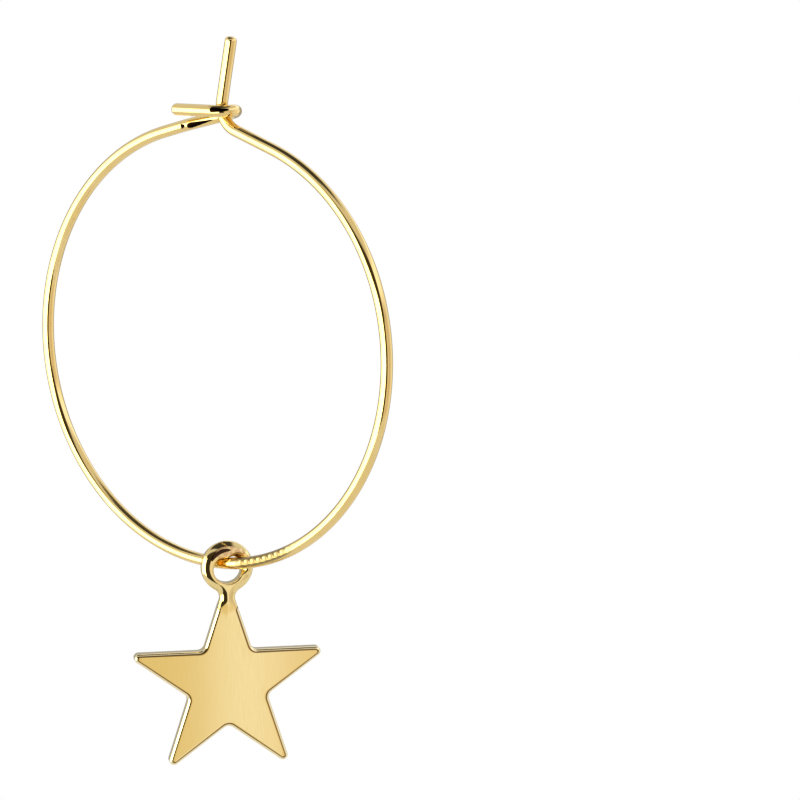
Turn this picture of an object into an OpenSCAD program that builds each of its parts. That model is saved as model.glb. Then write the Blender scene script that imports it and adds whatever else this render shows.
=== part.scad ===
// Hoop charm earring: one bent wire hoop with a hook clasp, and a flat star
// charm whose own ring hangs loosely on the wire.
// Millimetres. +Z is up and the hoop stands in the XZ plane, with its post on
// the +X side. The origin is the point of the wire that sits in the ear lobe.

/* [Wire] */
// Diameter of the round wire
wire_d = 0.8; // [0.7:0.01:0.85]
// Outer diameter of the hoop, about which its arcs are drawn
hoop_outer_d = 30; // [28:0.5:32]
// Gap all round between the post and the hook that it passes through
hook_gap = 0.1; // [0.08:0.01:0.14]
// Length of the straight post above its bend, to its tip
post_len = 4.3; // [3.8:0.1:5]
// Length of the straight free end of the hook
hook_tail = 3.1; // [2:0.1:3.6]
// Radius of the rounded edge at each cut end of the wire
end_edge = 0.3; // [0.2:0.02:0.34]

/* [Star charm] */
// Circumradius of the star's outline, to its points before they are rounded
star_r = 7.35; // [6.8:0.05:7.6]
// Radius of the rounded points
point_r = 0.32; // [0.25:0.01:0.4]
// Radius of the rounded inner corners
notch_r = 0.5; // [0.3:0.05:0.9]
// Thickness of the plate
plate_t = 0.96; // [0.8:0.02:1.1]
// Radius of the rounded edge round the star
plate_edge = 0.2; // [0.1:0.02:0.22]

/* [Charm ring] */
// Outer radius of the ring
ring_r = 1.75; // [1.7:0.05:1.8]
// Radius of the hole that the wire passes through
hole_r = 0.95; // [0.93:0.01:0.96]
// How far the hole lies below the centre of the ring's outer circle
hole_drop = 0.14; // [0.1:0.01:0.16]
// How much thicker the ring is than the plate
ring_proud = 0.04; // [0.02:0.01:0.1]
// Radius of the rounded edge round the outside of the ring
ring_edge = 0.16; // [0.12:0.02:0.16]
// Radius of the rounded mouths of the hole
mouth_edge = 0.46; // [0.44:0.01:0.47]
// Distance from the centre of the star to the centre of the ring
ring_rise = 7.95; // [7.9:0.05:8.3]
// Radius of the fillets where the top arm of the star runs into the ring
neck_r = 0.65; // [0.6:0.05:0.8]

/* [Pose] */
// Angle of the star's face about the vertical, from the plane of the hoop
charm_yaw = 49; // [49:1:60]
// Distance along the wire from its lowest point to the charm
charm_along = 1; // [0:0.1:1.5]
// Height of the wire's centre above the centre of the charm's hole
wire_above_hole = 0.36; // [0.3:0.01:0.4]

/* [Hidden] */
$fn = 64;

gold = [0.86, 0.68, 0.36];
wire_r = wire_d / 2;
hoop_r = (hoop_outer_d - wire_d) / 2;
hook_r = wire_d + hook_gap;
// The stretches of wire stop this far short of their joints
joint_trim = 0.003;
// Radius of the joining balls, over that of the wire
joint_swell = 1.003;

// The wire is bent as a bender does it, from the lowest point of the hoop and
// out along each arm. A row rolls the wire about its own axis by TURN, bends
// it by SWEEP about a centre RADIUS away, and then runs STRAIGHT.
TURN = 0;
RADIUS = 1;
SWEEP = 2;
STRAIGHT = 3;

// The hand-formed hoop is slightly out of round, so each arm has three arcs.
// Straight runs lead from the last of them to the clasp.
right_arc = 53.5;
left_arc = 55;
right_run = 0.226 * hoop_r;
left_run = 0.11 * hoop_r;
// The left arm then steps sideways past the post, and hooks back round it in
// two bends, since its free end lies level and its way in climbs
step_run = 0.18 * hoop_r;
step_angle = 16;
step_r = 3;
post_bend_r = 1.7;
post_bend = 81.5;
right_arm = [
    // turn, radius, sweep, straight
    [0, hoop_r - 0.2, right_arc, 0],
    [0, hoop_r + 0.1, right_arc, 0],
    [0, hoop_r - 0.6, right_arc, right_run],
    [180, post_bend_r, post_bend, post_len]
];
left_arm = [
    // turn, radius, sweep, straight
    [0, hoop_r + 0.3, left_arc, 0],
    [0, hoop_r, left_arc, 0],
    [0, hoop_r - 0.1, left_arc, left_run],
    [90, step_r, step_angle, step_run],
    [178, hook_r, 124, 0],
    [-18, hook_r, 64, 0],
    [11, step_r, 8.5, hook_tail]
];
// The rows of the right arm up to the straight run that the ear lobe sits on
lobe_rows = 3;

// A place on the wire is [point, heading, side], where side points from the
// wire to the centre of its next bend
POINT = 0;
HEADING = 1;
SIDE = 2;
bottom = [0, 0, -hoop_r];
right_start = [bottom, [1, 0, 0], [0, 0, 1]];
left_start = [bottom, [-1, 0, 0], [0, 0, 1]];

function roll(place, turn) =
    let (h = place[HEADING], s = place[SIDE])
    [place[POINT], h, s * cos(turn) + cross(h, s) * sin(turn)];

function bend(place, radius, sweep) =
    let (h = place[HEADING], s = place[SIDE])
    [place[POINT] + radius * (h * sin(sweep) + s * (1 - cos(sweep))),
        h * cos(sweep) + s * sin(sweep), s * cos(sweep) - h * sin(sweep)];

function run(place, length) =
    [place[POINT] + place[HEADING] * length, place[HEADING], place[SIDE]];

// The place on an arm after its first rows
function place_after(start, rows, count) =
    count == 0 ? start
    : let (row = rows[count - 1], before = place_after(start, rows, count - 1))
        run(bend(roll(before, row[TURN]), row[RADIUS], row[SWEEP]), row[STRAIGHT]);

lobe = run(place_after(right_start, right_arm, lobe_rows), -right_run / 2);
hang = bend(right_start, right_arm[0][RADIUS], charm_along / right_arm[0][RADIUS] * 180 / PI);

// Carries its children from a frame with X towards the bend's centre and Z
// along the wire to a place on the wire
module at_place(place) {
    z = place[HEADING];
    x = place[SIDE];
    y = cross(z, x);
    p = place[POINT];
    multmatrix([
        [x[0], y[0], z[0], p[0]],
        [x[1], y[1], z[1], p[1]],
        [x[2], y[2], z[2], p[2]]
    ]) children();
}

// A bend, a hair short at each end, where the joining balls take over
module bent_stretch(radius, sweep) {
    trim = joint_trim / radius * 180 / PI;
    translate([radius, 0, 0]) rotate([90, 0, 0]) rotate([0, 0, 180 - sweep + trim])
        rotate_extrude(angle = sweep - 2 * trim) translate([radius, 0]) circle(r = wire_r);
}

module straight_stretch(length) {
    translate([0, 0, joint_trim]) cylinder(r = wire_r, h = length - 2 * joint_trim);
}

// A straight stretch that ends in a cut with a rounded edge
module end_stretch(length) {
    translate([0, 0, joint_trim]) cylinder(r = wire_r, h = length - end_edge - joint_trim);
    translate([0, 0, length - end_edge]) rotate_extrude() intersection() {
        union() {
            square([wire_r - end_edge, end_edge]);
            translate([wire_r - end_edge, 0]) circle(r = end_edge);
        }
        square([wire_r, end_edge]);
    }
}

// A ball that joins one stretch to the next
module joint(place) {
    translate(place[POINT]) sphere(r = wire_r * joint_swell);
}

module bent_arm(start, rows) {
    for (i = [0:len(rows) - 1]) {
        row = rows[i];
        before = roll(place_after(start, rows, i), row[TURN]);
        after = bend(before, row[RADIUS], row[SWEEP]);
        joint(before);
        at_place(before) bent_stretch(row[RADIUS], row[SWEEP]);
        if (row[STRAIGHT] > 0) {
            joint(after);
            at_place(after)
                if (i == len(rows) - 1) end_stretch(row[STRAIGHT]);
                else straight_stretch(row[STRAIGHT]);
        }
    }
}

module hoop_wire() {
    color(gold) translate(-lobe[POINT]) {
        bent_arm(right_start, right_arm);
        bent_arm(left_start, left_arm);
    }
}

// The star lies in its own XY plane about its centre, with its top arm along
// +Y. An outline point is [point, outward normal], and the outline runs
// anticlockwise, from the left end of the neck to the right.
AT = 0;
NORMAL = 1;
arc_steps = 6;
edge_steps = 3;
// Half the angle of the metal at a point, and of the air in an inner corner
point_half = 18;
notch_half = 54;
inner_r = star_r * sin(point_half) / sin(notch_half);
ring_c = [0, ring_rise];
hole_c = [0, ring_rise - hole_drop];
ring_t = plate_t + ring_proud;
// The fillets of the neck end this far inside the ring
neck_bury = 0.03;

function direction(angle) = [cos(angle), sin(angle)];

function point_arc(angle) =
    let (centre = direction(angle) * (star_r - point_r / sin(point_half)))
    [for (i = [0:arc_steps])
        let (n = direction(angle + (90 - point_half) * (2 * i / arc_steps - 1)))
        [centre + point_r * n, n]];

function notch_arc(angle) =
    let (centre = direction(angle) * (inner_r + notch_r / sin(notch_half)))
    [for (i = [0:arc_steps])
        let (n = direction(angle + (90 - notch_half) * (1 - 2 * i / arc_steps)))
        [centre - notch_r * n, n]];

// The right fillet of the neck, which touches the top arm's side and the ring
side_n = direction(point_half);
neck_reach = ring_r - neck_bury + neck_r;
neck_off = star_r * sin(point_half) + neck_r - ring_c * side_n;
neck_c = ring_c + side_n * neck_off
    + direction(point_half - 90) * sqrt(pow(neck_reach, 2) - pow(neck_off, 2));
neck_end = atan2(neck_c[1] - ring_rise, neck_c[0]);
neck_arc = [for (i = [0:arc_steps])
    let (n = direction(point_half + (neck_end - point_half) * i / arc_steps))
    [neck_c - neck_r * n, n]];

function mirrored(v) = [-v[0], v[1]];

// The nine corners below the top arm, inner ones and points in turn
corner_step = 36;
corner_arcs = [for (k = [1:9]) let (angle = 90 + k * corner_step)
    each k % 2 == 1 ? notch_arc(angle) : point_arc(angle)];

outline = concat(
    [for (i = [arc_steps:-1:0]) [mirrored(neck_arc[i][AT]), mirrored(neck_arc[i][NORMAL])]],
    corner_arcs,
    neck_arc
);
count = len(outline);

// The rounded edge from the front face to the back, as [inset, height]
front_edge = [for (j = [0:edge_steps]) let (a = 90 * j / edge_steps)
    [plate_edge * (1 - sin(a)), plate_t / 2 - plate_edge * (1 - cos(a))]];
levels = concat(front_edge,
    [for (j = [edge_steps:-1:0]) [front_edge[j][0], -front_edge[j][1]]]);
last = len(levels) - 1;

// Both faces are strips across the neck, then a fan about the star's centre
star_points = concat(
    [for (level = levels, p = outline)
        let (q = p[AT] - level[0] * p[NORMAL]) [q[0], q[1], level[1]]],
    [[0, 0, plate_t / 2], [0, 0, -plate_t / 2]]
);
front_c = count * len(levels);
back_c = front_c + 1;
fan = arc_steps + 1;
strip_faces = [for (i = [0:arc_steps]) [count - 1 - i, count - 2 - i, i + 1, i]];
fan_rim = [for (i = [fan:count - 1 - fan]) i];
star_faces = concat(
    strip_faces,
    [for (i = [0:len(fan_rim) - 1]) [front_c, fan_rim[(i + 1) % len(fan_rim)], fan_rim[i]]],
    [for (j = [0:last - 1], i = [0:count - 1]) let (k = (i + 1) % count)
        [j * count + i, j * count + k, (j + 1) * count + k, (j + 1) * count + i]],
    [for (f = strip_faces) [for (i = [3:-1:0]) last * count + f[i]]],
    [for (i = [0:len(fan_rim) - 1])
        [back_c, last * count + fan_rim[i], last * count + fan_rim[(i + 1) % len(fan_rim)]]]
);

module ring_disc() {
    rotate_extrude() {
        translate([0, -ring_t / 2]) square([ring_r - ring_edge, ring_t]);
        translate([0, ring_edge - ring_t / 2]) square([ring_r, ring_t - 2 * ring_edge]);
        for (side = [-1, 1])
            translate([ring_r - ring_edge, side * (ring_t / 2 - ring_edge)]) circle(r = ring_edge);
    }
}

// The hole and its flared mouths
module ring_hole() {
    cylinder(r = hole_r, h = 2 * ring_t, center = true);
    for (side = [0, 1]) mirror([0, 0, side]) translate([0, 0, ring_t / 2 - mouth_edge])
        rotate_extrude() difference() {
            square([hole_r + mouth_edge, 2 * mouth_edge]);
            translate([hole_r + mouth_edge, 0]) circle(r = mouth_edge);
        }
}

// The charm hangs plumb from the wire, off centre in its larger hole
module star_charm() {
    color(gold)
        translate(hang[POINT] - lobe[POINT] - [0, 0, wire_above_hole])
        rotate([90, 0, charm_yaw])
        translate([0, -hole_c[1], 0])
        difference() {
            union() {
                polyhedron(star_points, star_faces);
                translate([0, ring_c[1], 0]) ring_disc();
            }
            translate([0, hole_c[1], 0]) ring_hole();
        }
}

hoop_wire();
star_charm();
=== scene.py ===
import bmesh
import bpy
import numpy as np
from mathutils import Matrix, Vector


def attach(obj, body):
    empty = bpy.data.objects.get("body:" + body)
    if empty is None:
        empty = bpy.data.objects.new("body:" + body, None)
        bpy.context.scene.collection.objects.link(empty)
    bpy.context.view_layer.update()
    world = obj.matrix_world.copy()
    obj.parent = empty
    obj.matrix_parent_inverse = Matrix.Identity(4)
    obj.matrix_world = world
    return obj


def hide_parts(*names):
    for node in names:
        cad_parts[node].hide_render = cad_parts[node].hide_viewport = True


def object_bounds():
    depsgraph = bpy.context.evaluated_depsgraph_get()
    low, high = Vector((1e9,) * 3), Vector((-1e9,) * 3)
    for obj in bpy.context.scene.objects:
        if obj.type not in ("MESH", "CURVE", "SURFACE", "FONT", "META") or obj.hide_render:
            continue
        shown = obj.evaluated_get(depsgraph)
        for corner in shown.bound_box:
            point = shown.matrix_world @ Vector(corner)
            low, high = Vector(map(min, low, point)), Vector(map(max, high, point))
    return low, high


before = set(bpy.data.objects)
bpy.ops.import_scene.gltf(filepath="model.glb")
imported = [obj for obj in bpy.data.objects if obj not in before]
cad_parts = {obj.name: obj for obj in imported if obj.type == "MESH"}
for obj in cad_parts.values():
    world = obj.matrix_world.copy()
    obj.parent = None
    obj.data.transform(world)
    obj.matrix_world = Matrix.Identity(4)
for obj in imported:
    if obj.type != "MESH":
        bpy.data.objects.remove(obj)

cad_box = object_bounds()

# Sizes are in millimetres, about the middle of the hoop, until they go into a mesh
MM = 0.001
UP = np.array([0.0, 0.0, 1.0])
ACROSS = np.array([0.0, 1.0, 0.0])
TO_RIGHT = np.array([1.0, 0.0, 0.0])

WIRE_R = 0.4
HOOP_R = 14.6
END_EDGE = 0.3
POST_LEN = 4.3
HOOK_R = 0.9
HOOK_TAIL = 3.1
# Points round the wire, the longest step along it and the least number of steps in a bend
WIRE_SIDES = 56
WIRE_STEP = 0.09
BEND_STEPS = 24

# Each arm of the wire as it is bent, from the lowest point of the hoop outwards: a row rolls the wire
# about its own axis, bends it about a centre a radius away, and then runs straight
RIGHT_RUN = 0.226 * HOOP_R
RIGHT_ARM = [
    # turn, radius, sweep, straight
    (0, HOOP_R - 0.2, 53.5, 0),
    (0, HOOP_R + 0.1, 53.5, 0),
    (0, HOOP_R - 0.6, 53.5, RIGHT_RUN),
    (180, 1.7, 81.5, POST_LEN),
]
LEFT_ARM = [
    # turn, radius, sweep, straight
    (0, HOOP_R + 0.3, 55, 0),
    (0, HOOP_R, 55, 0),
    (0, HOOP_R - 0.1, 55, 0.11 * HOOP_R),
    (90, 3, 16, 0.18 * HOOP_R),
    (178, HOOK_R, 124, 0),
    (-18, HOOK_R, 64, 0),
    (11, 3, 8.5, HOOK_TAIL),
]

# The dents from the tool that pressed the wire: where the row fades in and out, in millimetres along the
# wire from the bottom of the hoop, where one dent lies, their spacing, half width and depth, and their angle
# round the wire
MARKS_FADE_IN = (1.8, 2.6)
MARKS_FADE_OUT = (7.9, 5.7)
MARK_AT = 2.4
MARK_STEP = 0.54
MARK_HALF = 0.2
MARK_DEPTH = 0.06
MARK_AROUND = np.radians(165)
# Painted shade dims the pressed stretch's highlight up to this distance round the wire from the row, but for
# the middles of the dents, which stay bright and go over to the painted shade between two distances from each
# middle
SHADE_WIDE = 0.5
BRIGHT_TO_SHADE = (0.07, 0.15)

# Small painted dark reflections: where they lie along and round the wire, their half length and half width
# there, and how much their width tapers along the wire, or back along it if that is negative
DARK_REFLECTIONS = [
    # length, degrees around, half length, half width, taper
    (-49.93, 0, 0.5, 0.2, 0.6),
    (-45.4, 160, 1.0, 0.24, -0.9),
    (-44.13, 173, 0.15, 0.2, -0.6),
]

# The star: its points' radius, the rounding of points and inner corners, the half angles of both, its
# thickness and the rounding of its edge
STAR_R = 7.35
POINT_R = 0.32
NOTCH_R = 0.5
POINT_HALF = 18
NOTCH_HALF = 54
PLATE_T = 0.96
PLATE_EDGE = 0.2

# The ring: its thickness, radius and rise above the star's middle, the hole's radius and how far it lies
# below the ring's middle, the round of the neck, and the heights between which the section goes over from the
# plate's to the ring's
RING_T = 1.0
RING_R = 1.75
RING_RISE = 7.95
HOLE_R = 0.95
HOLE_DROP = 0.14
NECK_R = 0.65
NECK_SPAN = (RING_RISE - RING_R - 1.1, RING_RISE - RING_R - 0.3)
RING_C = np.array([0.0, RING_RISE])
HOLE_C = np.array([0.0, RING_RISE - HOLE_DROP])

# The ring hangs on the wire by the top of its hole, which is this much lower than a round hole's, and the
# angles round the hole between which it comes down
HOLE_WORN = 0.14
HOLE_WORN_SPAN = (50, 90)
# Radius of the hole's rounded mouths, where the slanting wire comes out and where it doesn't, and the angles
# round the hole between which the broad part fades in and out
MOUTH_EDGE = 0.46
MOUTH_SHARP = 0.12
MOUTH_FADE_IN = (-25, 0)
MOUTH_FADE_OUT = (88, 58)

# The ring's front slopes outwards before it rounds over: the width of the slope, its first and last angle
# and the width of the rounding
SLOPE_WIDE = 0.28
SLOPE_FROM = 6.0
SLOPE_TO = 16.0
RING_ROUND = 0.24
# At the top of the ring the slope is steeper by this angle, and the rounding narrower
TOP_STEEPER = 39.0
TOP_ROUND = 0.05
TOP_SPAN = (RING_RISE + 0.475 * RING_R, RING_RISE + 0.975 * RING_R)
# The slope and the rounding together take no more than this share of the space outside the hole's mouth
ROOM_SHARE = 0.92

# The charm hangs this far along the wire from the bottom of the hoop, turned by this angle, with the wire's
# middle above the hole's
CHARM_ALONG = 1.0
CHARM_YAW = 49
WIRE_ABOVE_HOLE = 0.36

# Points along each stretch of the outline, and across the flat, the slope, the rounding and the hole's mouth
HALF_NOTCH_STEPS = 13
NOTCH_STEPS = 21
POINT_STEPS = 25
NECK_STEPS = 29
RING_STEPS = 73
SIDE_STEPS = 15
FLAT_STEPS = 17
SLOPE_STEPS = 7
ROUND_STEPS = 13
MOUTH_STEPS = 13
# Below this height the rows of the star start from its middle point, and above it from its middle line
ROWS_FROM_MIDDLE = 2.2
# The rows crowd together at the foot of the hole by this power, so that higher up they run straight outwards
RIM_CROWDING = 6
# What is added to the distance beyond the face's end on the upright side, and taken from it on the ring
SIDE_BEYOND = 0.3
RING_BEYOND = 2.0

# The dark crescent on the ring, a painted dark reflection: the angle round the ring of its middle and half
# its length, its distance from the ring's centre, its width and the softness of its edge
CRESCENT_AT = 119
CRESCENT_HALF = 38
CRESCENT_R = 1.2
CRESCENT_WIDE = 0.26
CRESCENT_SOFT = 0.05
# The painted reddish reflection: how strong it is, the angles between which it fades in and out, and the
# distances from the ring's centre between which it ends. Neither painted reflection reaches lower than this
# height above the middle plane
RED_REFLECTION = 0.6
RED_REFLECTION_FADE_IN = (15, 45)
RED_REFLECTION_FADE_OUT = (150, 120)
RED_REFLECTION_EDGE = (1.62, 1.5)
REFLECTION_ABOVE = 0.2

WIRE_GOLD = (0.90, 0.68, 0.29, 1)
CHARM_GOLD = (0.90, 0.71, 0.31, 1)
# The painted dark reflection along the line round the star's face, and the painted highlight on its rounded
# edge
EDGE_LINE_SHADE_GOLD = (0.16, 0.085, 0.03, 1)
EDGE_HIGHLIGHT_GOLD = (0.94, 0.79, 0.46, 1)
# The painted shade on the pressed wire, and its painted dark reflections
PRESSED_SHADE_GOLD = (0.24, 0.175, 0.075, 1)
WIRE_REFLECTION_BLACK = (0.004, 0.0015, 0.001, 1)
# The painted reddish reflection and the painted dark crescent on the ring
RED_REFLECTION_GOLD = (0.62, 0.36, 0.17, 1)
DARK_REFLECTION_GOLD = (0.02, 0.006, 0.003, 1)

# The tent's colours all round at the height of the earring
TENT_ROUND = [
    # degrees to the right of the camera, colour
    (-180, (0.10, 0.10, 0.10)),
    (-120, (0.10, 0.10, 0.10)),
    (-116, (0.5, 0.5, 0.45)),
    (-92, (0.62, 0.62, 0.56)),
    (-76, (0.95, 0.95, 0.74)),
    (-22, (0.95, 0.95, 0.74)),
    (-17, (0.01, 0.008, 0.005)),
    (8, (0.01, 0.008, 0.005)),
    (12, (0.12, 0.10, 0.06)),
    (16.2, (0.19, 0.168, 0.117)),
    (17.6, (0.192, 0.17, 0.119)),
    (20.5, (0.207, 0.18, 0.148)),
    (34, (0.18, 0.168, 0.16)),
    (50, (0.15, 0.135, 0.12)),
    (74, (0.20, 0.19, 0.18)),
    (120, (0.25, 0.25, 0.27)),
    (128, (0.10, 0.10, 0.10)),
    (180, (0.10, 0.10, 0.10)),
]
# The gleam that the star's face mirrors: its colour, and the degrees where it starts, is brightest and ends
TENT_GLEAM = (0.24, 0.245, 0.28, 1)
GLEAM_FROM = 17.9
GLEAM_AT = 18.9
GLEAM_TO = 20.2
# The tent's upper parts: its grey left and top, its pale right, and the dark one that the camera stands in
TENT_GREY = (0.175, 0.175, 0.18, 1)
TENT_PALE = (0.30, 0.31, 0.36, 1)
TENT_DARK = (0.012, 0.009, 0.005, 1)
# How strongly it shines, below and overhead, the heights between which that changes, as sines of the angle
# above level, and how much lower the change lies on its left
TENT_STRENGTH = 4.4
OVERHEAD_STRENGTH = 0.3
OVERHEAD_FROM = 0.86
OVERHEAD_FULL = 0.95
LEFT_LOWER = 0.09

# The floor, in metres: its radius and how far it lies below the earring
FLOOR_R = 0.28
FLOOR_BELOW = 0.12


def turned(v, axis, angle):
    """v turned about a unit axis: its part across the axis goes round by the angle, and the rest stays."""
    c = np.cos(angle)[..., None]
    s = np.sin(angle)[..., None]
    along = axis * np.dot(axis, v)
    return along + (v - along) * c + np.cross(axis, v) * s


def bent_arm(heading, rows):
    """Centre line of an arm from the lowest point of the hoop: points, headings and a cross direction.

    A bend goes round its centre in equal steps and turns all three directions with it. A straight run
    only moves the point. The stretches are joined end to end.
    """
    point = np.array([0.0, 0.0, -HOOP_R])
    side = UP
    cross = ACROSS
    stretches = []
    for turn, radius, sweep, straight in rows:
        side = turned(side, heading, np.radians(float(turn)))
        steps = max(BEND_STEPS, int(radius * np.radians(sweep) / WIRE_STEP))
        angle = np.linspace(0, np.radians(sweep), steps + 1)
        axis = np.cross(heading, side)
        headings = turned(heading, axis, angle)
        sides = turned(side, axis, angle)
        crosses = turned(cross, axis, angle)
        points = point + radius * (side - sides)
        stretches.append((points, headings, crosses))
        point, heading, side, cross = points[-1], headings[-1], sides[-1], crosses[-1]
        if straight:
            length = np.linspace(0, straight, int(straight / WIRE_STEP) + 1)[1:, None]
            points = point + length * heading
            same = np.ones_like(length)
            stretches.append((points, same * heading, same * cross))
            point = points[-1]
    return [np.vstack(part) for part in zip(*stretches)]


def lobe_point():
    """Middle of the straight run on the right arm, which is the origin of the shared frame."""
    points, headings, _ = bent_arm(TO_RIGHT, RIGHT_ARM[:3])
    return points[-1] - headings[-1] * RIGHT_RUN / 2


LOBE = lobe_point()


def shared(points):
    """Points about the middle of the hoop, in metres in the shared frame."""
    return (points - LOBE) * MM


def grid_faces(rows, columns):
    """Quads of a grid of points."""
    first = np.arange(rows - 1)[:, None] * columns + np.arange(columns - 1)
    quads = np.stack([first, first + 1, first + columns + 1, first + columns], axis=-1)
    return quads.reshape(-1, 4)


def surface(name, points, faces, uv, values):
    """A smooth mesh object of these points in metres, with doubled points along its seams merged.

    The values become attributes of the points, by name.
    """
    mesh = bpy.data.meshes.new(name)
    mesh.from_pydata(points.reshape(-1, 3).tolist(), [], faces.tolist())
    layer = mesh.uv_layers.new(name="along")
    layer.data.foreach_set("uv", uv.reshape(-1, 2)[faces.ravel()].ravel())
    for key, value in values.items():
        mesh.attributes.new(key, "FLOAT", "POINT").data.foreach_set("value", value.ravel())
    work = bmesh.new()
    work.from_mesh(mesh)
    bmesh.ops.remove_doubles(work, verts=work.verts, dist=1e-7)
    bmesh.ops.dissolve_degenerate(work, edges=work.edges, dist=1e-7)
    work.to_mesh(mesh)
    work.free()
    mesh.polygons.foreach_set("use_smooth", np.ones(len(mesh.polygons), bool))
    piece = bpy.data.objects.new(name, mesh)
    bpy.context.scene.collection.objects.link(piece)
    return piece


def ease(value, start, end):
    """Goes smoothly from 0, where the value is at the start or before it, to 1, where it is at the end."""
    x = np.clip((value - start) / (end - start), 0, 1)
    return x * x * (3 - 2 * x)


def rounded_end(points, headings, crosses):
    """Gives the line a radius at each point and a cut end with a rounded edge.

    There the wire narrows along a quarter circle, then closes in a flat.
    """
    angle = np.radians([0, 12, 24, 36, 48, 60, 70, 80, 90])
    start = points[-1] - headings[-1] * END_EDGE
    steps = np.linalg.norm(np.diff(points, axis=0), axis=1)
    keep = np.append(np.cumsum(steps[::-1])[::-1], 0.0) > END_EDGE
    ahead = np.append(END_EDGE * np.sin(angle), [END_EDGE, END_EDGE])
    narrow = WIRE_R - END_EDGE * (1 - np.cos(angle))
    narrow = np.append(narrow, [0.5 * (WIRE_R - END_EDGE), 0.0])
    one = np.ones((len(ahead), 1))
    return (
        np.vstack([points[keep], start + ahead[:, None] * headings[-1]]),
        np.vstack([headings[keep], one * headings[-1]]),
        np.vstack([crosses[keep], one * crosses[-1]]),
        np.append(np.full(keep.sum(), WIRE_R), narrow),
    )


def round_from(around, angle):
    """Distance round the wire from an angle on it, the shorter way."""
    return np.angle(np.exp(1j * (around - angle))) * WIRE_R


def dents_and_shade(length, around):
    """Depth of the dents, a bowl at every step along the wire, and how much painted shade dims the wire
    between them.

    Both fade out at the ends of the row.
    """
    phase = (length - MARK_AT) / MARK_STEP
    off = (phase - np.round(phase)) * MARK_STEP
    side = round_from(around, MARK_AROUND)
    bowl = np.clip(1 - (off / MARK_HALF) ** 2 - (side / MARK_HALF) ** 2, 0, None)
    fade = ease(length, *MARKS_FADE_IN) * ease(length, *MARKS_FADE_OUT)
    outside = ease(np.hypot(off, side), *BRIGHT_TO_SHADE)
    pressed_shade = outside * ease(np.abs(side), SHADE_WIDE, SHADE_WIDE / 2)
    return MARK_DEPTH * bowl * fade, pressed_shade * fade


def dark_reflection_mask(length, around):
    """How strongly dark reflections are painted on the wire: each is a blunt oval, which may narrow towards
    one end.
    """
    total = np.zeros(np.broadcast_shapes(length.shape, around.shape))
    for place, degrees, half_length, half_width, taper in DARK_REFLECTIONS:
        along = (length - place) / half_length
        side = round_from(around, np.radians(degrees))
        wide = half_width * np.clip(1 - abs(taper) * (1 + np.sign(taper) * along) / 2, 0.05, None)
        total = np.maximum(total, np.clip(1.5 - along**8 - (side / wide) ** 2, 0, 1))
    return total


def wire():
    """The bent wire from the hook's free end, round the hoop, to the tip of the post.

    A circle of the wire's radius is carried along the centre line. Beside the charm, a row of shallow
    dents is pressed into it, each a round bowl in distance along and around the wire.
    """
    right = rounded_end(*bent_arm(TO_RIGHT, RIGHT_ARM))
    left = rounded_end(*bent_arm(-TO_RIGHT, LEFT_ARM))
    points = np.vstack([left[0][:0:-1], right[0]])
    headings = np.vstack([-left[1][:0:-1], right[1]])
    crosses = np.vstack([left[2][:0:-1], right[2]])
    radii = np.append(left[3][:0:-1], right[3])
    steps = np.linalg.norm(np.diff(points, axis=0), axis=1)
    length = np.append([0.0], np.cumsum(steps))
    length = (length - length[len(left[0]) - 1])[:, None]
    around = np.linspace(0, 2 * np.pi, WIRE_SIDES + 1)[None, :]
    out = (
        np.cos(around)[:, :, None] * crosses[:, None, :]
        + np.sin(around)[:, :, None] * np.cross(headings, crosses)[:, None, :]
    )
    depth, pressed_shade = dents_and_shade(length, around)
    # Masks for the painted shade on the pressed stretch and for the painted dark reflections
    painted_masks = {"pressed_shade": pressed_shade, "dark_reflection": dark_reflection_mask(length, around)}
    place = points[:, None, :] + out * (radii[:, None] - depth)[:, :, None]
    uv = np.stack(np.broadcast_arrays(around * WIRE_R, length), axis=-1)
    return surface("wire", shared(place), grid_faces(len(points), WIRE_SIDES + 1), uv, painted_masks)


def direction(degrees):
    """Unit vector in the charm's own plane."""
    a = np.radians(degrees)
    return np.stack([np.cos(a), np.sin(a)], axis=-1)


def neck_fillet():
    """Centre of the round between the top arm's right side and the ring, and the angle where it ends."""
    side = direction(POINT_HALF)
    reach = RING_R + NECK_R
    off = STAR_R * np.sin(np.radians(POINT_HALF)) + NECK_R - RING_C @ side
    centre = RING_C + side * off + direction(POINT_HALF - 90) * np.sqrt(reach**2 - off**2)
    toward = centre - RING_C
    return centre, np.degrees(np.arctan2(toward[1], toward[0]))


def round_corner(centre, radius, first, last, steps):
    """Points and outward normals of an arc. A negative radius is a hollow corner, bent round air."""
    normals = direction(np.linspace(first, last, steps))
    return centre + radius * normals, normals


def between(a, b):
    """Points of the straight side from one arc's end to the next one's start, without its two ends."""
    share = np.linspace(0, 1, SIDE_STEPS + 2)[1:-1, None]
    return a[0][-1] * (1 - share) + b[0][0] * share, np.repeat(a[1][-1:], SIDE_STEPS, axis=0)


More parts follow.
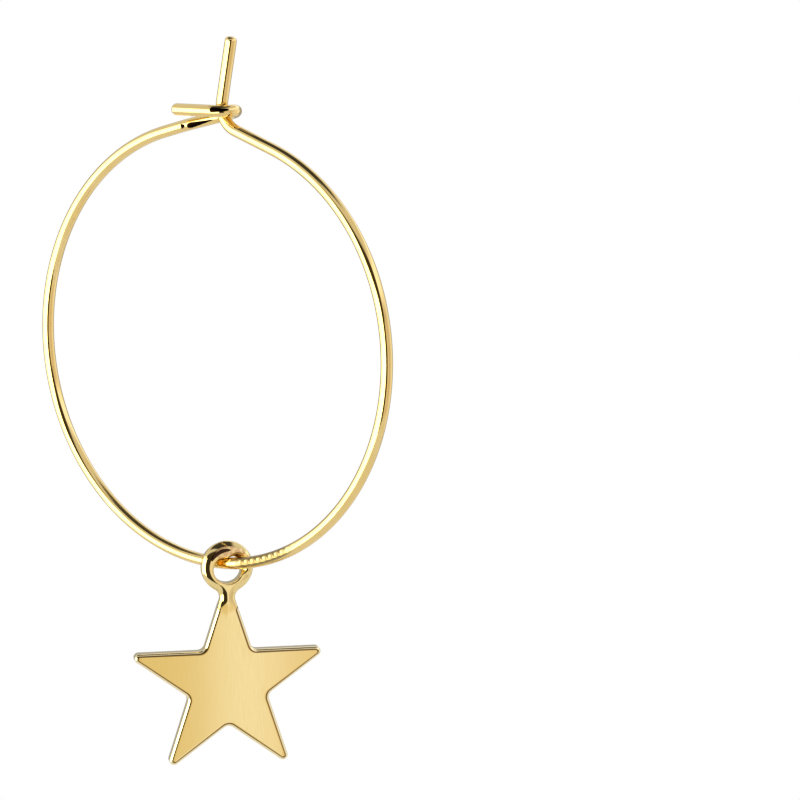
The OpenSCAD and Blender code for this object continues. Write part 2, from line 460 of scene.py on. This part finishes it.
def charm_outline():
    """Half of the charm's outline, from the lowest inner corner up the right side to the top of the ring.

    Arcs round the points, the inner corners, the neck and the ring, with straight sides between them.
    Returns points, outward normals, how far the section has gone over from the plate's to the ring's, and
    the number of points on the body, below the ring.
    """
    inner = STAR_R * np.sin(np.radians(POINT_HALF)) / np.sin(np.radians(NOTCH_HALF))
    notch = inner + NOTCH_R / np.sin(np.radians(NOTCH_HALF))
    point = STAR_R - POINT_R / np.sin(np.radians(POINT_HALF))
    bend = 90 - NOTCH_HALF
    curl = 90 - POINT_HALF
    neck, neck_end = neck_fillet()
    arcs = [
        round_corner(notch * direction(-90), -NOTCH_R, -90, -90 - bend, HALF_NOTCH_STEPS),
        round_corner(point * direction(-54), POINT_R, -54 - curl, -54 + curl, POINT_STEPS),
        round_corner(notch * direction(-18), -NOTCH_R, -18 + bend, -18 - bend, NOTCH_STEPS),
        round_corner(point * direction(18), POINT_R, 18 - curl, 18 + curl, POINT_STEPS),
        round_corner(notch * direction(54), -NOTCH_R, 54 + bend, 54 - bend, NOTCH_STEPS),
        round_corner(neck, -NECK_R, POINT_HALF, neck_end, NECK_STEPS),
    ]
    stretches = [arcs[0]]
    for before, arc in zip(arcs, arcs[1:]):
        stretches += [between(before, arc), arc]
    body = sum(len(stretch[0]) for stretch in stretches)
    ring = round_corner(RING_C, RING_R, neck_end, 90, RING_STEPS)
    stretches.append([part[1:] for part in ring])
    points, normals = [np.vstack(part) for part in zip(*stretches)]
    return points, normals, ease(points[:, 1], *NECK_SPAN), body


def mouth_edge(angle, wide):
    """Radius of the mouth's rounding at an angle round the hole, broad only where the wire leaves."""
    share = ease(angle, *MOUTH_FADE_IN) * ease(angle, *MOUTH_FADE_OUT) * wide
    return MOUTH_SHARP + (MOUTH_EDGE - MOUTH_SHARP) * share


def hole_radius(angle):
    """Radius of the hole at an angle round it, less at the top, where it touches the wire."""
    return HOLE_R - HOLE_WORN * ease(angle, *HOLE_WORN_SPAN)


def from_hole(points):
    """Distances from the middle of the hole, and angles round it in degrees."""
    away = points - HOLE_C
    return np.linalg.norm(away, axis=1), np.degrees(np.arctan2(away[:, 1], away[:, 0]))


def arc_fall(wide, first, last, steps):
    """How far along and down an arc goes whose lean changes from first to last over a width.

    It starts one step beyond the arc's own start.
    """
    radius = wide / np.maximum(np.sin(last) - np.sin(first), 1e-6)
    lean = first + (last - first) * np.linspace(0, 1, steps)[1:]
    return radius * (np.sin(lean) - np.sin(first)), radius * (np.cos(first) - np.cos(lean))


def edge_section(height, up, room):
    """Section of the charm's edge at each row of its outline, from where the flat ends to the middle plane.

    An arc slopes away, a second one rounds over to upright, and the side goes down. Both arcs are cut to the
    room there is. Returns their width together, and distances outwards and heights along the section.
    """
    on_top = ease(height, *TOP_SPAN)
    steeper = TOP_STEEPER * on_top
    first = np.radians(SLOPE_FROM * up + steeper)[:, None]
    last = np.radians(SLOPE_TO * up + steeper)[:, None]
    rounding = PLATE_EDGE + (RING_ROUND - PLATE_EDGE) * up + (TOP_ROUND - RING_ROUND) * on_top
    rounding = np.minimum(rounding, room)[:, None]
    slope = np.minimum((SLOPE_WIDE * up)[:, None], room[:, None] - rounding)
    slope_out, slope_down = arc_fall(slope, first, last, SLOPE_STEPS)
    round_out, round_down = arc_fall(rounding, last, np.pi / 2, ROUND_STEPS)
    wide = slope + rounding
    half = (PLATE_T + (RING_T - PLATE_T) * up[:, None]) / 2
    out = np.hstack([0 * half, slope_out, slope + round_out, wide])
    down = np.hstack([0 * half, slope_down, slope_down[:, -1:] + round_down, half])
    return wide, out, half - down


def charm_quarter(wide):
    """A quarter of the charm's skin, as a sheet from its middle line to its side, and of the hole's wall.

    Across the sheet: flat from the middle line or the rim of the hole's mouth, then the edge's section. Along
    it: half the outline. On the flat of the ring the rows run in distance and angle about the hole.
    """
    points, normals, up, body = charm_outline()
    distance, angle = from_hole(points)
    behind = np.linspace(1, 0, len(points) - body + 1) ** RIM_CROWDING
    around = angle[body - 1 :] - (90 + angle[body - 1]) * behind
    hole = hole_radius(around)[:, None]
    mouth = mouth_edge(around, wide)[:, None]
    rim = HOLE_C + (hole + mouth) * direction(around)
    above = np.clip(points[:body, 1] - ROWS_FROM_MIDDLE, 0, None)
    middle = np.stack([np.zeros(body), np.minimum(above / above[-1], 1) * rim[0, 1]], axis=-1)
    inner = np.vstack([middle, rim[1:]])
    room = np.linalg.norm(points - inner, axis=1)
    room[body:] = (distance - hole_radius(angle) - mouth_edge(angle, wide))[body:]
    edge_wide, out, height = edge_section(points[:, 1], up, room * ROOM_SHARE)

    flat_to = points - normals * edge_wide
    share = np.linspace(0, 1, FLAT_STEPS)[:-1] ** 0.8
    straight = inner[:, None, :] * (1 - share[:, None]) + flat_to[:, None, :] * share[:, None]
    ends = zip(from_hole(inner), from_hole(flat_to))
    radius, turn = [a[:, None] * (1 - share) + b[:, None] * share for a, b in ends]
    curved = HOLE_C + radius[:, :, None] * direction(turn)
    face = straight + (curved - straight) * up[:, None, None]
    edge = points[:, None, :] - normals[:, None, :] * (edge_wide - out)[:, :, None]
    height = np.hstack([np.repeat(height[:, :1], FLAT_STEPS - 1, axis=1), height])
    skin = np.dstack([np.hstack([face, edge]), height])

    beyond = np.hstack([-np.linalg.norm(face - flat_to[:, None, :], axis=2), out])
    beyond[:, -1] += SIDE_BEYOND
    beyond -= RING_BEYOND * up[:, None]

    lean = np.radians(np.linspace(90, 0, MOUTH_STEPS))
    radius = np.hstack([hole + mouth * (1 - np.cos(lean)), hole])
    height = np.hstack([RING_T / 2 - mouth * (1 - np.sin(lean)), 0 * hole])
    wall = np.dstack([HOLE_C + direction(around)[:, None, :] * radius[:, :, None], height])
    return skin, beyond, wall


def ring_reflections(flat):
    """How strongly reflections are painted on the ring's faces, alike when turned about.

    A painted reddish reflection lies above the wire, and a painted dark crescent at its left end: a band at a
    distance from the ring's centre that narrows to nothing at both ends of its arc.
    """
    facing = np.where(flat[:, 2] < 0, -1, 1)
    place = np.stack([flat[:, 0] * facing, flat[:, 1]], axis=-1) - RING_C
    distance = np.linalg.norm(place, axis=1)
    angle = np.degrees(np.arctan2(place[:, 1], place[:, 0]))
    from_middle = np.abs(angle - CRESCENT_AT) / CRESCENT_HALF
    thick = CRESCENT_WIDE * np.sqrt(np.clip(1 - from_middle**2, 0, 1)) / 2
    crescent = ease(np.abs(distance - CRESCENT_R), thick + CRESCENT_SOFT, thick) * (thick > 0)
    reflection_share = ease(angle, *RED_REFLECTION_FADE_IN) * ease(angle, *RED_REFLECTION_FADE_OUT) * ease(distance, *RED_REFLECTION_EDGE)
    return np.maximum(crescent, RED_REFLECTION * reflection_share) * (np.abs(flat[:, 2]) > REFLECTION_ABOVE)


def hung(flat):
    """The charm's own points, stood upright, turned to its yaw and hung with its hole round the wire."""
    a = np.radians(CHARM_YAW)
    own_x = np.array([np.cos(a), np.sin(a), 0.0])
    own_z = np.array([np.sin(a), -np.cos(a), 0.0])
    bend_r = RIGHT_ARM[0][1]
    along = CHARM_ALONG / bend_r
    wire_at = np.array([np.sin(along), 0.0, 1 - np.cos(along)]) * bend_r - UP * HOOP_R
    hole_at = wire_at - UP * WIRE_ABOVE_HOLE
    local = flat - np.array([0.0, HOLE_C[1], 0.0])
    return shared(hole_at + local[:, :1] * own_x + local[:, 1:2] * UP + local[:, 2:] * own_z)


def charm():
    """The star and its ring as one closed skin, with the wall of the hole: four mirrored quarters.

    The wire slants through the hole, out to the right in front and to the left behind, and there the mouth
    is broad. A sheet that is mirrored an odd number of times has its faces turned round.
    """
    points = []
    faces = []
    beyonds = []
    start = 0
    for wide in (False, True):
        skin, beyond, wall = charm_quarter(wide)
        no_line = np.full(wall.shape[:2], -RING_BEYOND)
        for side in (1, -1):
            back = side if wide else -side
            for sheet, values, outward in ((skin, beyond, 1), (wall, no_line, -1)):
                quads = grid_faces(*sheet.shape[:2])
                points.append(sheet.reshape(-1, 3) * [side, 1, back])
                beyonds.append(values.ravel())
                faces.append((quads if side * back * outward > 0 else quads[:, ::-1]) + start)
                start += len(points[-1])
    flat = np.vstack(points)
    # Masks for the painted line and highlight at the face's edge, and for the painted reflections on the ring
    painted_masks = {"beyond": np.concatenate(beyonds), "ring_reflections": ring_reflections(flat)}
    return surface("charm", hung(flat), np.vstack(faces), flat[:, :2], painted_masks)


def node(tree, kind, **values):
    """A node with its properties and input sockets set from the named values."""
    made = tree.nodes.new(kind)
    for key, value in values.items():
        if key in made.inputs:
            made.inputs[key].default_value = value
        else:
            setattr(made, key, value)
    return made


def feed(tree, value, socket):
    """Joins an output to a socket, or sets the socket to a plain number or colour."""
    if isinstance(value, bpy.types.NodeSocket):
        tree.links.new(value, socket)
    else:
        socket.default_value = value


def maths(tree, operation, *values):
    """Result of a sum with numbers and outputs."""
    made = node(tree, "ShaderNodeMath", operation=operation)
    for value, socket in zip(values, made.inputs):
        feed(tree, value, socket)
    return made.outputs[0]


def both(tree, first, second):
    """The product of two shares."""
    return maths(tree, "MULTIPLY", first, second)


def ranged(tree, value, low, high, to_low, to_high):
    """Maps a value's range smoothly to another."""
    made = node(tree, "ShaderNodeMapRange", interpolation_type="SMOOTHSTEP")
    names = ("Value", "From Min", "From Max", "To Min", "To Max")
    for name, number in zip(names, (value, low, high, to_low, to_high)):
        feed(tree, number, made.inputs[name])
    return made.outputs["Result"]


def mixed(tree, share, first, second):
    """Mixes a colour or an output with a second colour."""
    made = node(tree, "ShaderNodeMix", data_type="RGBA")
    feed(tree, share, made.inputs["Factor"])
    colours = [socket for socket in made.inputs if socket.type == "RGBA"]
    feed(tree, first, colours[0])
    feed(tree, second, colours[1])
    return [socket for socket in made.outputs if socket.type == "RGBA"][0]


def streaks(tree, across, lengthwise, detail):
    """Fine lines along the second direction of the mesh's own map, which is in millimetres."""
    place = node(tree, "ShaderNodeUVMap", uv_map="along")
    stretch = node(tree, "ShaderNodeMapping", Scale=(across, lengthwise, 1))
    feed(tree, place.outputs["UV"], stretch.inputs["Vector"])
    noise = node(tree, "ShaderNodeTexNoise", Scale=1.0, Detail=detail, Roughness=0.6)
    feed(tree, stretch.outputs["Vector"], noise.inputs["Vector"])
    return noise.outputs["Fac"]


def attribute(tree, name):
    """The value that the mesh holds under a name."""
    return node(tree, "ShaderNodeAttribute", attribute_name=name).outputs["Fac"]


def polished_gold(name, gold, cloud, roughness, streak, relief, add_painted_light):
    """Polished gold plating: hair lines from drawing or buffing, faint clouds in its colour and gloss.

    Cloud is the strength of the clouds. The last argument is a function that adds the piece's painted light
    and shade to the colour.
    """
    material = bpy.data.materials.new(name)
    material.use_nodes = True
    tree = material.node_tree
    shader = tree.nodes["Principled BSDF"]
    shader.inputs["Metallic"].default_value = 1.0
    material.diffuse_color = gold
    clouds = streaks(tree, 0.9, 0.5, 3)
    deep = tuple(c * (1 - cloud * k) for c, k in zip(gold, (1, 2, 5))) + (1,)
    colour = mixed(tree, ranged(tree, clouds, 0.35, 0.65, 0, 1), deep, gold)
    feed(tree, add_painted_light(tree, colour), shader.inputs["Base Color"])
    lines = streaks(tree, *streak, 4)
    rough = ranged(tree, lines, 0.3, 0.75, roughness * 0.8, roughness * 1.5)
    feed(tree, rough, shader.inputs["Roughness"])
    bump = node(tree, "ShaderNodeBump", Strength=0.25, Distance=relief)
    feed(tree, lines, bump.inputs["Height"])
    feed(tree, bump.outputs["Normal"], shader.inputs["Normal"])
    return material


def wire_painted_light(tree, colour):
    """Paints shade on the pressed stretch of the wire between its dents, dimming its highlight, and adds the
    small painted dark reflections.
    """
    shaded = ranged(tree, attribute(tree, "pressed_shade"), 0, 1, 0, 0.9)
    reflected = ranged(tree, attribute(tree, "dark_reflection"), 0.3, 0.7, 0, 1)
    return mixed(tree, reflected, mixed(tree, shaded, colour, PRESSED_SHADE_GOLD), WIRE_REFLECTION_BLACK)


def charm_painted_light(tree, colour):
    """Paints a fine dark line, a painted dark reflection, where the star's flat face ends, and a painted
    highlight on the rounded edge beyond it.

    Over that go the uneven painted reddish reflection and the painted dark crescent on the ring.
    """
    beyond = attribute(tree, "beyond")
    # Painted highlight on the rounded edge, then the painted dark reflection along the face's end line
    rim = mixed(tree, ranged(tree, beyond, 0.03, 0.08, 0, 0.9), colour, EDGE_HIGHLIGHT_GOLD)
    from_line = maths(tree, "ABSOLUTE", beyond)
    lined = mixed(tree, ranged(tree, from_line, 0.03, 0.07, 0.92, 0), rim, EDGE_LINE_SHADE_GOLD)
    reflection_share = attribute(tree, "ring_reflections")
    uneven = both(tree, reflection_share, ranged(tree, streaks(tree, 3.5, 3.5, 3), 0.4, 0.62, 0.55, 1.1))
    reddish = mixed(tree, ranged(tree, uneven, 0.2, 0.6, 0, 0.85), lined, RED_REFLECTION_GOLD)
    return mixed(tree, ranged(tree, reflection_share, 0.6, 0.95, 0, 0.96), reddish, DARK_REFLECTION_GOLD)


def camera():
    """The photo's long lens, which looks down on the hoop from its front right.

    The hoop's middle is seen this many pixels from the left and the top of a square picture. Returns the
    camera's azimuth about that middle.
    """
    azimuth = np.radians(36.785)
    elevation = np.radians(8.154)
    distance = 240
    focal_px = 3600
    half_px = 400
    hoop_px = np.array([213.63, 346.63])
    level = np.array([np.sin(azimuth), -np.cos(azimuth), 0.0])
    back = level * np.cos(elevation) + UP * np.sin(elevation)
    right = np.array([np.cos(azimuth), np.sin(azimuth), 0.0])
    up = np.cross(back, right)
    shift = (hoop_px - half_px) / focal_px * distance
    place = shared(distance * back - shift[0] * right + shift[1] * up)
    data = bpy.data.cameras.new("camera")
    data.sensor_fit = "HORIZONTAL"
    data.sensor_width = 36
    data.lens = data.sensor_width * focal_px / (2 * half_px)
    data.clip_start = 0.01
    data.clip_end = 100
    made = bpy.data.objects.new("camera", data)
    pose = np.eye(4)
    pose[:3] = np.column_stack([right, up, back, place])
    made.matrix_world = Matrix(pose.tolist())
    bpy.context.scene.collection.objects.link(made)
    bpy.context.scene.camera = made
    away = place - shared(np.zeros(3))
    return np.degrees(np.arctan2(away[0], -away[1]))


def ramp_place(degrees):
    """Share of the turn at which a direction lies, by its degrees to the right of the camera."""
    return 0.5 + degrees / 360


def fades_in(tree, turn, low, high):
    """The part of the tent to the right of the degrees between which it fades in."""
    return ranged(tree, turn, ramp_place(low), ramp_place(high), 0, 1)


def fades_out(tree, turn, low, high):
    """The part of the tent to the left of the degrees between which it fades out."""
    return ranged(tree, turn, ramp_place(low), ramp_place(high), 1, 0)


def tent_direction(tree, view_azimuth):
    """Which way a ray goes: its share of a turn, 0.5 at the camera, and its height from -1 to 1."""
    split = node(tree, "ShaderNodeSeparateXYZ")
    feed(tree, node(tree, "ShaderNodeTexCoord").outputs["Generated"], split.inputs[0])
    minus_y = maths(tree, "MULTIPLY", split.outputs["Y"], -1)
    azimuth = maths(tree, "ARCTAN2", split.outputs["X"], minus_y)
    turn = maths(tree, "MULTIPLY_ADD", azimuth, 1 / (2 * np.pi), 1.5 - view_azimuth / 360)
    return maths(tree, "FRACT", turn), split.outputs["Z"]


def tent_colour(tree, turn, height, left):
    """The tent's colours: all round at the earring's height, a gleam, the upper parts and the top."""
    ramp = node(tree, "ShaderNodeValToRGB")
    elements = ramp.color_ramp.elements
    while len(elements) < len(TENT_ROUND):
        elements.new(0.5)
    for element, (degrees, colour) in zip(elements, TENT_ROUND):
        element.position = ramp_place(degrees)
        element.color = colour + (1,)
    feed(tree, turn, ramp.inputs[0])
    rise = fades_in(tree, turn, GLEAM_FROM, GLEAM_AT)
    gleam = both(tree, rise, fades_out(tree, turn, GLEAM_AT, GLEAM_TO))
    right = fades_in(tree, turn, 20, 32)
    middle = both(tree, fades_in(tree, turn, -48, -40), fades_out(tree, turn, 18, 28))
    colour = mixed(tree, gleam, ramp.outputs["Color"], TENT_GLEAM)
    upper_parts = [
        # part, height where it starts, height where it is full, colour
        (left, 0.22, 0.46, TENT_GREY),
        (right, 0.22, 0.42, TENT_PALE),
        (middle, 0.1, 0.2, TENT_DARK),
    ]
    for part, low, high, tint in upper_parts:
        colour = mixed(tree, both(tree, part, ranged(tree, height, low, high, 0, 1)), colour, tint)
    return mixed(tree, ranged(tree, height, 0.5, 0.7, 0, 1), colour, TENT_GREY)


def studio(view_azimuth):
    """White tent, seen as plain white, that shines on the earring by direction and height.

    At the earring's height it has a bright left side, a dark gap where the camera stands, a gleam to the
    right of it and a softer right side. Higher up it is grey on the left, pale on the right and dark between
    them, then grey all round, and dim overhead.
    """
    world = bpy.data.worlds.new("studio")
    bpy.context.scene.world = world
    bpy.context.scene.view_settings.view_transform = "Standard"
    world.use_nodes = True
    tree = world.node_tree
    tree.nodes.clear()
    turn, height = tent_direction(tree, view_azimuth)
    left = fades_out(tree, turn, -24, -19)
    overhead = maths(tree, "MULTIPLY_ADD", left, LEFT_LOWER, height)
    lights = node(tree, "ShaderNodeBackground")
    feed(tree, tent_colour(tree, turn, height, left), lights.inputs["Color"])
    spans = (OVERHEAD_FROM, OVERHEAD_FULL, TENT_STRENGTH, OVERHEAD_STRENGTH)
    feed(tree, ranged(tree, overhead, *spans), lights.inputs["Strength"])
    white = node(tree, "ShaderNodeBackground", Color=(1, 1, 1, 1))
    path = node(tree, "ShaderNodeLightPath")
    mix = node(tree, "ShaderNodeMixShader")
    feed(tree, path.outputs["Is Camera Ray"], mix.inputs[0])
    feed(tree, lights.outputs[0], mix.inputs[1])
    feed(tree, white.outputs[0], mix.inputs[2])
    out = node(tree, "ShaderNodeOutputWorld")
    feed(tree, mix.outputs[0], out.inputs["Surface"])


def floor():
    """A wide pale floor, far enough below the earring to take no shadow of it."""
    level = cad_box[0][2] - FLOOR_BELOW
    a = np.linspace(0, 2 * np.pi, 97)[:-1]
    rim = np.stack([FLOOR_R * np.cos(a), FLOOR_R * np.sin(a), np.full_like(a, level)], axis=-1)
    mesh = bpy.data.meshes.new("floor")
    mesh.from_pydata(rim.tolist(), [], [tuple(range(len(a)))])
    made = bpy.data.objects.new("floor", mesh)
    bpy.context.scene.collection.objects.link(made)
    material = bpy.data.materials.new("white_paper")
    material.use_nodes = True
    shader = material.node_tree.nodes["Principled BSDF"]
    shader.inputs["Base Color"].default_value = (0.78, 0.78, 0.78, 1)
    shader.inputs["Roughness"].default_value = 1.0
    shader.inputs["Emission Color"].default_value = (1, 1, 1, 1)
    shader.inputs["Emission Strength"].default_value = 0.3
    mesh.materials.append(material)


studio(camera())
floor()

wire_piece = wire()
wire_gold = polished_gold("wire_gold", WIRE_GOLD, 0.03, 0.07, (14, 0.5), 2e-6, wire_painted_light)
wire_piece.data.materials.append(wire_gold)
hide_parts("hoop_wire")
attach(wire_piece, "hoop")

charm_piece = charm()
charm_gold = polished_gold("charm_gold", CHARM_GOLD, 0.006, 0.05, (9, 0.7), 5e-7, charm_painted_light)
charm_piece.data.materials.append(charm_gold)
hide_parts("star_charm")
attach(charm_piece, "charm")
